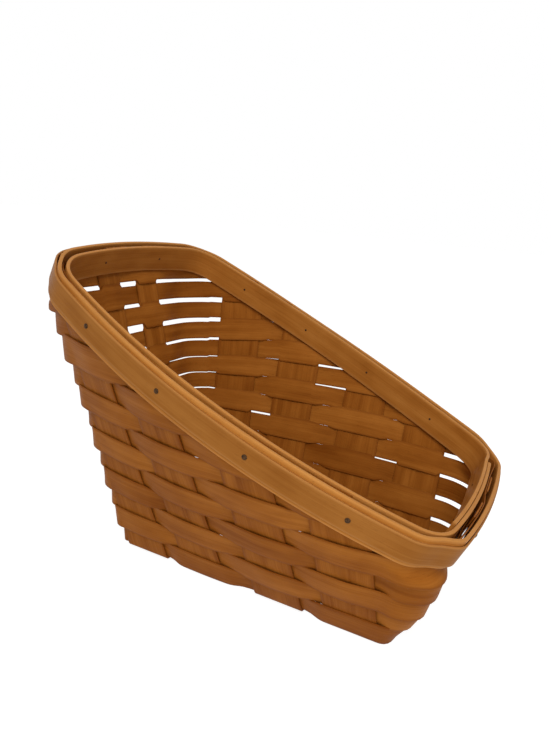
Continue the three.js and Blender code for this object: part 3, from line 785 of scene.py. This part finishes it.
def build_stake(name, walls, edges, crossings, end_levels, flat_point, numbers, material, seed):
    """Up one wall, across the base at given levels, and up the opposite wall."""
    profile = section(STAKE_THICKNESS, SPLINT_COLUMNS, SPLINT_ROUNDING)
    share, reach, _ = profile
    width = abs(edges(1, 0.0) - edges(-1, 0.0))
    over = (share * (width / 2 - SPLINT_ROUNDING) + reach) / width + 0.5

    def place_at(wall, z):
        z = np.broadcast_to(z, over.shape) if np.ndim(z) < 2 else z
        return lerp(wall_place(wall, edges(-1, z), z), wall_place(wall, edges(1, z), z), over)

    def wall_rows(wall, level, number):
        start = level + BEND_LENGTH
        tops = np.full(len(share), start)
        for _ in range(HEIGHT_PASSES):
            tops = cut_height(place_at(wall, tops))
        steps = max(LEAST_WALL_STEPS, round((tops.max() - start) / STATION_STEP))
        z = lerp(start, tops[None, :], np.linspace(0, 1, steps + 1)[:, None])
        place = place_at(wall, z)
        sign = 1 if (1 + number) % 2 == 0 else -1
        gripped = smoothstep(foot_height(place) - GRIP_START, foot_height(place), z)
        unsagged = z
        for _ in range(SAG_PASSES):
            unsagged = z + sag((unsagged - FIRST_ROW) / ROW_PITCH, place)
        phase = math.pi * (unsagged - FIRST_ROW - ROW_PITCH / 2) / ROW_PITCH
        free = (1 - gripped) * smoothstep(0, STAKE_WAVE_FULL, z)
        return wall_point(place, z), -sign * STAKE_WAVE * np.cos(phase) * free

    def bend_rows(row, wall, level, inwards):
        corner = wall_point(place_at(wall, level), np.full(len(share), level))
        flat = corner + inwards * BEND_LENGTH
        rows = []
        for f in BEND_SHARES:
            rows.append(row * (1 - f) ** 2 + 2 * corner * f * (1 - f) + flat * f * f)
        return np.array(rows)

    first, first_wave = wall_rows(walls[0], end_levels[0], numbers[0])
    second, second_wave = wall_rows(walls[1], end_levels[1], numbers[1])
    inwards = unit(flat_point(1.0, 0.0, 0.0) - flat_point(0.0, 0.0, 0.0))
    down = bend_rows(first[0], walls[0], end_levels[0], inwards)
    up = bend_rows(second[0], walls[1], end_levels[1], -inwards)
    run_axis = int(np.argmax(np.abs(inwards)))
    start = down[-1][:, run_axis].mean()
    finish = up[-1][:, run_axis].mean()
    knots = np.array([start] + [at for at, _ in crossings] + [finish])
    levels = np.array([end_levels[0]] + [level for _, level in crossings] + [end_levels[1]])
    count = round(abs(finish - start) / STATION_STEP)
    run = np.linspace(start, finish, count + 1)[1:-1]
    level = smooth_curve(knots, levels, run)
    flat_edge = lerp(edges(-1, 0.0), edges(1, 0.0), over)
    flat = np.array([flat_point(at, flat_edge, height) for at, height in zip(run, level)])
    points = np.concatenate([first[::-1], down, flat, up[::-1], second])
    quiet = np.zeros((len(down) + len(flat) + len(up), len(share)))
    wave = np.concatenate([first_wave[::-1], quiet, second_wave])
    normals = grid_normals(points, False)
    halfway = len(first) // 2
    outwards = first[halfway].mean(0) * np.array([1, 1, 0])
    if (normals[halfway].mean(0) * outwards).sum() < 0:
        points, wave = points[:, ::-1], wave[:, ::-1]
        normals = grid_normals(points, False)
    points = points + normals * wave[..., None]
    line = points.mean(1)
    along = np.concatenate([[0], np.cumsum(np.linalg.norm(np.diff(line, axis=0), axis=1))])
    across = np.broadcast_to(share * width / 2, wave.shape)
    mesh = strip_mesh(name, points + TO_FRAME, normals, profile, along, across, False, seed)
    add_piece("splint", name, mesh, material)


def cross_level(i, j):
    return HIGH_LEVEL if (i + j) % 2 == 0 else LOW_LEVEL


def long_level(i, j):
    return LOW_LEVEL if (i + j) % 2 == 0 else HIGH_LEVEL


def crossings_over(edge, levels):
    """Where a stake is past the edges of each stake that it crosses in the base, and its level."""
    crossings = []
    for n, level in enumerate(levels):
        for side in (-1, 1):
            crossings.append((edge(n, side, 0.0) + side * EDGE_MARGIN, level))
    return crossings


def build_stakes(material):
    for i in CROSS:
        levels = [cross_level(i, j) for j in (0, 1)]
        build_stake(
            f"cross_stake_{i + 1}",
            (NEAR_SIDE, FAR_SIDE),
            lambda side, z, i=i: cross_edge(i, side, z),
            crossings_over(long_edge, levels),
            (levels[0], levels[-1]),
            lambda at, edge, height: stack_point(edge, at, height),
            (upright_number(NEAR_SIDE, i), upright_number(FAR_SIDE, i)),
            material,
            CROSS_SEED + i,
        )
    for j, name in enumerate(("long_stake_near", "long_stake_far")):
        levels = [long_level(i, j) for i in CROSS]
        build_stake(
            name,
            (TALL_END, SHORT_END),
            lambda side, z, j=j: long_edge(j, side, z),
            crossings_over(cross_edge, levels)[1:-1],
            (levels[0], levels[-1]),
            stack_point,
            (upright_number(TALL_END, j), upright_number(SHORT_END, j)),
            material,
            LONG_SEED + j,
        )


# Bands
def hoop_stations(offset):
    """Fine places round the rim, and the length up to each."""
    fine = np.linspace(0, HOOP, RIM_STATIONS + 1)
    line = rim_point(fine, offset, np.zeros(len(fine)))
    length = np.concatenate([[0], np.cumsum(np.linalg.norm(np.diff(line, axis=0), axis=1))])
    return fine, length


def build_band(name, offset, thickness, height, drop, start_place, lap, lap_side, bow_size, material, seed):
    """A hoop, or a strip that runs on past its start by a lap.

    At the lap its start moves over to one side of its finish: 1 is the outside, -1 the inside.
    """
    fine, length = hoop_stations(offset)
    total = length[-1]
    start = np.interp(start_place, fine, length)
    count = round((total + lap) / STATION_STEP)
    along = np.linspace(0, total + lap, count + 1)
    closed = lap == 0
    if closed:
        along = along[:-1]
    place = np.interp(np.mod(along + start, total), length, fine)
    profile = section(thickness, BAND_COLUMNS, BAND_ROUNDING)
    share, reach, _ = profile
    up = share * (height / 2 - BAND_ROUNDING) + reach
    lift = BAND_WOBBLE * wobble(total, along, BAND_WAVES)[:, None]
    places = np.broadcast_to(place[:, None], (len(place), len(up)))
    points = rim_point(places, offset, drop + height / 2 - lift - up)
    normals = grid_normals(points, closed)
    bow = bow_size * wobble(total, along, BAND_BOW_WAVES)
    past_lap = smoothstep(lap + LAP_SPARE, lap + LAP_RAMP, along)
    shift = lap_side * (thickness + CLEARANCE) * (1 - past_lap)
    points = points + normals * (shift + bow)[:, None, None]
    if closed:
        along = np.append(along, total)
    across = np.broadcast_to(up, points.shape[:2])
    mesh = strip_mesh(name, points + TO_FRAME, normals, profile, along, across, closed, seed)
    add_piece("bent", name, mesh, material)


def build_bands(material, trim_material):
    band = dict(thickness=BAND_THICKNESS, height=BAND_HEIGHT, drop=0, material=material)
    inner_lap = dict(start_place=INNER_LAP_START, lap=INNER_LAP, lap_side=-1)
    no_lap = dict(start_place=TALL_END, lap=0, lap_side=0)
    trim_lap = dict(start_place=TRIM_LAP_START, lap=TRIM_LAP, lap_side=1)
    inner_offset = BAND_THICKNESS / 2
    build_band("inner_band", inner_offset, **band, **inner_lap, bow_size=BAND_BOW, seed=BAND_SEED)
    build_band("outer_band", OUTER_BAND_OFFSET, **band, **no_lap, bow_size=0, seed=BAND_SEED + 1)
    build_band(
        "trim_band",
        TRIM_OFFSET,
        thickness=TRIM_THICKNESS,
        height=TRIM_HEIGHT,
        drop=TRIM_DROP,
        **trim_lap,
        bow_size=0,
        material=trim_material,
        seed=BAND_SEED + 2,
    )


# Tacks
def tack_places():
    side = round((side_end(-1) - side_start(-1)) / TACK_SPACING)
    for n in range(side):
        yield f"tack_near_{n + 1}", NEAR_SIDE + (n + 0.5) / side
        yield f"tack_far_{n + 1}", FAR_SIDE + (n + 0.5) / side
    for n in range(END_TACKS):
        yield f"tack_short_{n + 1}", SHORT_END + (n + 0.5) / END_TACKS
        yield f"tack_tall_{n + 1}", TALL_END + (n + 0.5) / END_TACKS


def dome(centre, out, radius, height):
    """Vertices and faces of a closed dome on a flat seat."""
    side = unit(np.cross(out, BAND_UP))
    up = np.cross(side, out)
    angle = np.arange(DOME_TURNS) * 2 * math.pi / DOME_TURNS
    circle = np.cos(angle)[:, None] * side + np.sin(angle)[:, None] * up
    vertices, faces = [], []
    for climb in DOME_CLIMBS:
        t = math.radians(climb)
        vertices += list(centre + circle * radius * math.cos(t) + out * height * math.sin(t))
    for ring in range(len(DOME_CLIMBS) - 1):
        for k in range(DOME_TURNS):
            a, b = ring * DOME_TURNS + k, ring * DOME_TURNS + (k + 1) % DOME_TURNS
            faces.append((a, b, b + DOME_TURNS, a + DOME_TURNS))
    top = len(vertices)
    vertices.append(centre + out * height)
    for k in range(DOME_TURNS):
        faces.append((top - DOME_TURNS + k, top - DOME_TURNS + (k + 1) % DOME_TURNS, top))
    faces.append(tuple(reversed(range(DOME_TURNS))))
    return vertices, faces


def build_tacks(material):
    drop = np.full(3, TRIM_DROP + TRIM_HEIGHT / 2)
    seat = TRIM_OFFSET + TRIM_THICKNESS / 2 + TACK_SEAT
    for name, place in tack_places():
        places = np.array([place - TANGENT_STEP, place, place + TANGENT_STEP])
        before, centre, after = rim_point(places, seat, drop)
        out = unit(np.cross(after - before, BAND_UP))
        # At the short end the tip comes through the lap of the inner band
        layers = 2 if SHORT_END < place < SHORT_END + 1 else 1
        inside = -TACK_SEAT - (layers - 1) * (BAND_THICKNESS + CLEARANCE)
        tip_place = rim_point(places, inside, drop)[1]
        vertices, faces = dome(centre, out, TACK_RADIUS, TACK_HEIGHT)
        tip_vertices, tip_faces = dome(tip_place, -out, TIP_RADIUS, TIP_HEIGHT)
        faces += [tuple(v + len(vertices) for v in face) for face in tip_faces]
        vertices += tip_vertices
        mesh = bpy.data.meshes.new(name)
        mesh.from_pydata([((v + TO_FRAME) * MM).tolist() for v in vertices], [], faces)
        add_piece("head", name, finish_mesh(mesh), material)


# Materials. A noise's stretch is its waves in a millimetre along a strip and across it, and its
# waves from one strip's number to the next.
FIBRE = dict(stretch=(0.014, 1.1, 17.0), detail=5, roughness=0.62, distortion=0.25)
BROAD = dict(stretch=(0.006, 0.13, 9.3), detail=3, roughness=0.5, distortion=0.6)
MOTTLE = dict(stretch=(0.03, 0.06, 5.1), detail=2, roughness=0.55, distortion=0.0)
PORES = dict(stretch=(0.16, 2.6, 3.7), detail=2, roughness=0.5, distortion=0.0)
NOISE_SPAN = (0.3, 0.7)
STREAK_SHARE = 0.3
FIGURE_SHARE = 0.38
CLOUD_SHARE = 0.32
PORE_SPAN = (0.64, 0.74)
PORE_SHARE = 0.55
# Share of the edge colour, which is partly painted shade and painted highlight
WEAR_AND_PAINTED_LIGHT_SHARE = 0.45
ROUGHER = 0.1
SMOOTHER = 0.06
FIBRE_RELIEF = 0.6
PORE_RELIEF = 0.5
WOOD_BUMP = 0.5
WOOD_BUMP_DEPTH = 0.0003
WOOD_SPECULAR = 0.06
WOOD_TINT = (1.0, 0.64, 0.32, 1.0)
SPOT_SCALE = 900.0
SPOT_DETAIL = 4.0
SPOT_SPAN = (0.35, 0.65)
METAL_ROUGHNESS = (0.35, 0.6)
METAL_BUMP = 0.4
METAL_BUMP_DEPTH = 0.0002
METAL_SPECULAR = 0.1


def clear_tree(owner):
    """The emptied node tree of a material or a world."""
    owner.use_nodes = True
    owner.node_tree.nodes.clear()
    return owner.node_tree


def add_node(tree, kind, inputs=None, **settings):
    node = tree.nodes.new(kind)
    for key, value in settings.items():
        setattr(node, key, value)
    for key, value in (inputs or {}).items():
        if isinstance(value, bpy.types.NodeSocket):
            tree.links.new(value, node.inputs[key])
        else:
            node.inputs[key].default_value = value
    return node


def linear(red, green, blue):
    """Linear colour of an sRGB one given from 0 to 255."""
    channels = [v / 255 for v in (red, green, blue)]
    return tuple(v / 12.92 if v <= 0.04045 else ((v + 0.055) / 1.055) ** 2.4 for v in channels) + (1.0,)


def math_node(tree, operation, a, b, c=0.0, clamp=False):
    inputs = {0: a, 1: b, 2: c}
    return add_node(tree, "ShaderNodeMath", inputs, operation=operation, use_clamp=clamp).outputs[0]


def mix_colour(tree, share, a, b):
    return add_node(tree, "ShaderNodeMix", {0: share, 6: a, 7: b}, data_type="RGBA").outputs[2]


def ramp(tree, factor, span, ends=(0.0, 1.0)):
    """A factor's span carried over to the ends, and held there outside the span."""
    inputs = {0: factor, 1: span[0], 2: span[1], 3: ends[0], 4: ends[1]}
    return add_node(tree, "ShaderNodeMapRange", inputs).outputs[0]


def stretched_noise(tree, vector, stretch, detail, roughness, distortion):
    scaled = add_node(tree, "ShaderNodeVectorMath", {0: vector, 1: stretch}, operation="MULTIPLY")
    inputs = {"Vector": scaled.outputs[0], "Scale": 1.0, "Detail": detail}
    inputs.update({"Roughness": roughness, "Distortion": distortion})
    return add_node(tree, "ShaderNodeTexNoise", inputs).outputs["Fac"]


def bump_normal(tree, strength, distance, height):
    inputs = {"Strength": strength, "Distance": distance, "Height": height}
    return add_node(tree, "ShaderNodeBump", inputs).outputs[0]


def wood(name, dark, middle, light, edge, roughness, spread):
    """Stained and varnished wood with its grain along the strip."""
    material = bpy.data.materials.new(name)
    tree = clear_tree(material)
    grain = add_node(tree, "ShaderNodeAttribute", attribute_name="grain").outputs["Vector"]
    worn_and_painted_light = add_node(tree, "ShaderNodeAttribute", attribute_name="wear_and_painted_light").outputs["Fac"]
    number = add_node(tree, "ShaderNodeSeparateXYZ", {0: grain}).outputs[2]
    fibre = stretched_noise(tree, grain, **FIBRE)
    broad = stretched_noise(tree, grain, **BROAD)
    mottle = stretched_noise(tree, grain, **MOTTLE)
    pores = stretched_noise(tree, grain, **PORES)
    tone = add_node(tree, "ShaderNodeTexWhiteNoise", {"W": number}, noise_dimensions="1D").outputs[0]
    streak = math_node(tree, "MULTIPLY", ramp(tree, fibre, NOISE_SPAN), STREAK_SHARE)
    figure = math_node(tree, "MULTIPLY", ramp(tree, broad, NOISE_SPAN), FIGURE_SHARE)
    cloud = math_node(tree, "MULTIPLY", ramp(tree, mottle, NOISE_SPAN), CLOUD_SHARE)
    total = math_node(tree, "ADD", math_node(tree, "ADD", streak, figure), cloud)
    own = math_node(tree, "MULTIPLY_ADD", tone, spread, -spread / 2)
    total = math_node(tree, "ADD", total, own, clamp=True)
    lower = mix_colour(tree, math_node(tree, "MULTIPLY", total, 2.0, clamp=True), dark, middle)
    share = math_node(tree, "MULTIPLY_ADD", total, 2.0, -1.0, clamp=True)
    colour = mix_colour(tree, share, lower, light)
    pore = ramp(tree, pores, PORE_SPAN)
    colour = mix_colour(tree, math_node(tree, "MULTIPLY", pore, PORE_SHARE), colour, dark)
    # Edge colour over the strips' edges: partly real stain and wear, partly painted shade in the splints'
    # seams and a painted highlight on the bands' edges
    colour = mix_colour(tree, math_node(tree, "MULTIPLY", worn_and_painted_light, WEAR_AND_PAINTED_LIGHT_SHARE), colour, edge)
    gloss = ramp(tree, fibre, NOISE_SPAN, (roughness + ROUGHER, roughness - SMOOTHER))
    fibre_relief = math_node(tree, "MULTIPLY", fibre, FIBRE_RELIEF)
    pore_relief = math_node(tree, "MULTIPLY", pore, PORE_RELIEF)
    height = math_node(tree, "SUBTRACT", fibre_relief, pore_relief)
    inputs = {
        "Base Color": colour,
        "Roughness": gloss,
        "Normal": bump_normal(tree, WOOD_BUMP, WOOD_BUMP_DEPTH, height),
        "Specular IOR Level": WOOD_SPECULAR,
        "Specular Tint": WOOD_TINT,
    }
    shader = add_node(tree, "ShaderNodeBsdfPrincipled", inputs)
    add_node(tree, "ShaderNodeOutputMaterial", {0: shader.outputs[0]})
    return material


def tack_metal(dark, light):
    material = bpy.data.materials.new("tack_metal")
    tree = clear_tree(material)
    place = add_node(tree, "ShaderNodeTexCoord").outputs["Object"]
    inputs = {"Vector": place, "Scale": SPOT_SCALE, "Detail": SPOT_DETAIL}
    spots = add_node(tree, "ShaderNodeTexNoise", inputs).outputs["Fac"]
    inputs = {
        "Base Color": mix_colour(tree, ramp(tree, spots, SPOT_SPAN), dark, light),
        "Roughness": ramp(tree, spots, NOISE_SPAN, METAL_ROUGHNESS),
        "Metallic": 0.0,
        "Normal": bump_normal(tree, METAL_BUMP, METAL_BUMP_DEPTH, spots),
        "Specular IOR Level": METAL_SPECULAR,
    }
    shader = add_node(tree, "ShaderNodeBsdfPrincipled", inputs)
    add_node(tree, "ShaderNodeOutputMaterial", {0: shader.outputs[0]})
    return material


# The basket
splint_wood = wood(
    "splint_wood",
    dark=linear(124, 64, 14),
    middle=linear(156, 91, 30),
    light=linear(180, 112, 44),
    # Darker edges: partly stain collected in the seams, partly painted shade between the strips
    edge=linear(112, 54, 12),
    roughness=0.5,
    spread=0.3,
)
band_wood = wood(
    "band_wood",
    dark=linear(150, 86, 26),
    middle=linear(180, 114, 47),
    light=linear(198, 133, 63),
    # Lighter edges: partly worn raw wood, partly a painted highlight where the edges catch the light
    edge=linear(212, 150, 84),
    roughness=0.45,
    spread=0.16,
)
trim_wood = wood(
    "trim_wood",
    dark=linear(128, 72, 22),
    middle=linear(153, 96, 40),
    light=linear(170, 112, 52),
    # Lighter edges: partly worn raw wood, partly a painted highlight where the edges catch the light
    edge=linear(196, 138, 78),
    roughness=0.45,
    spread=0.16,
)
for row in range(1, ROWS + 1):
    build_weaver(row, splint_wood)
build_stakes(splint_wood)
build_bands(band_wood, trim_wood)
build_tacks(tack_metal(dark=linear(44, 28, 16), light=linear(92, 64, 38)))


# The floor and the light, in metres
FLOOR_REACH = 6.0
FLOOR_LIT = (0.8, 0.8, 0.8, 1)
FLOOR_DIM = (0.4, 0.4, 0.4, 1)
FLOOR_GLOW = 0.85
WHITE = (1, 1, 1, 1)
WORLD_LIT = 0.42
WORLD_SEEN = 1.0
LAMP_AIM = (0, 0, 0.1)

# The camera, fitted to the photo, in degrees, millimetres and pixels
CAMERA_AZIMUTH = 25.75
CAMERA_ELEVATION = 14.85
CAMERA_ROLL = 4.87
CAMERA_DISTANCE = 453.3
CAMERA_TARGET = (2.03, 0, 152.15)
CAMERA_NEAREST = 10
FOCAL_PIXELS = 618.3
CENTRE_RIGHT = 10.0
CENTRE_DOWN = 2.4
IMAGE_LONG_SIDE = 733


def white_to_camera(tree, lit, white):
    """Shader output that is white for what the camera and reflections see, and lit for the rest."""
    rays = add_node(tree, "ShaderNodeLightPath")
    seen = math_node(tree, "MAXIMUM", rays.outputs["Is Camera Ray"], rays.outputs["Is Glossy Ray"])
    seen = math_node(tree, "MAXIMUM", seen, rays.outputs["Is Transmission Ray"])
    return add_node(tree, "ShaderNodeMixShader", {0: seen, 1: lit, 2: white}).outputs[0]


def build_floor():
    mesh = bpy.data.meshes.new("floor")
    corners = [(x * FLOOR_REACH, y * FLOOR_REACH, 0) for x, y in ((-1, -1), (1, -1), (1, 1), (-1, 1))]
    mesh.from_pydata(corners, [], [(0, 1, 2, 3)])
    floor = bpy.data.objects.new("floor", mesh)
    bpy.context.scene.collection.objects.link(floor)
    material = bpy.data.materials.new("pale_floor")
    tree = clear_tree(material)
    plain = add_node(tree, "ShaderNodeBsdfDiffuse", {"Color": FLOOR_LIT}).outputs[0]
    dim = add_node(tree, "ShaderNodeBsdfDiffuse", {"Color": FLOOR_DIM}).outputs[0]
    glow = add_node(tree, "ShaderNodeEmission", {"Color": WHITE, "Strength": FLOOR_GLOW}).outputs[0]
    pale = add_node(tree, "ShaderNodeAddShader", {0: dim, 1: glow}).outputs[0]
    add_node(tree, "ShaderNodeOutputMaterial", {0: white_to_camera(tree, plain, pale)})
    mesh.materials.append(material)


def build_world():
    world = bpy.data.worlds.new("studio")
    tree = clear_tree(world)
    lit, seen = (
        add_node(tree, "ShaderNodeBackground", {"Color": WHITE, "Strength": level}).outputs[0]
        for level in (WORLD_LIT, WORLD_SEEN)
    )
    add_node(tree, "ShaderNodeOutputWorld", {0: white_to_camera(tree, lit, seen)})
    bpy.context.scene.world = world


def direction(azimuth, elevation):
    a, e = math.radians(azimuth), math.radians(elevation)
    return Vector((math.sin(a) * math.cos(e), -math.cos(a) * math.cos(e), math.sin(e)))


def add_lamp(name, azimuth, elevation, distance, size, level):
    """Soft lamp that lights a white surface facing it to the given level."""
    lamp = bpy.data.lights.new(name, "AREA")
    lamp.shape = "DISK"
    lamp.size = size
    lamp.energy = level * math.pi ** 2 * distance ** 2
    holder = bpy.data.objects.new(name, lamp)
    bpy.context.scene.collection.objects.link(holder)
    way = direction(azimuth, elevation)
    holder.location = Vector(LAMP_AIM) + way * distance
    holder.rotation_mode = "QUATERNION"
    holder.rotation_quaternion = (-way).to_track_quat("-Z", "Y")


def build_camera():
    data = bpy.data.cameras.new("camera")
    data.lens = FOCAL_PIXELS * data.sensor_width / IMAGE_LONG_SIDE
    data.shift_x = -CENTRE_RIGHT / IMAGE_LONG_SIDE
    data.shift_y = CENTRE_DOWN / IMAGE_LONG_SIDE
    data.clip_start = CAMERA_NEAREST * MM
    camera = bpy.data.objects.new("camera", data)
    bpy.context.scene.collection.objects.link(camera)
    azimuth = math.radians(CAMERA_AZIMUTH)
    back = direction(CAMERA_AZIMUTH, CAMERA_ELEVATION)
    right = Vector((math.cos(azimuth), math.sin(azimuth), 0))
    up = back.cross(right)
    roll = math.radians(CAMERA_ROLL)
    x = right * math.cos(roll) + up * math.sin(roll)
    y = up * math.cos(roll) - right * math.sin(roll)
    place = Vector(CAMERA_TARGET) * MM + back * CAMERA_DISTANCE * MM
    camera.matrix_world = Matrix.Translation(place) @ Matrix((x, y, back)).transposed().to_4x4()
    bpy.context.scene.camera = camera


build_floor()
build_world()
add_lamp("key_lamp", azimuth=26, elevation=48, distance=1.4, size=0.9, level=0.5)
add_lamp("side_lamp", azimuth=32, elevation=8, distance=0.5, size=0.25, level=0.11)
build_camera()
bpy.context.scene.view_settings.view_transform = "Standard"
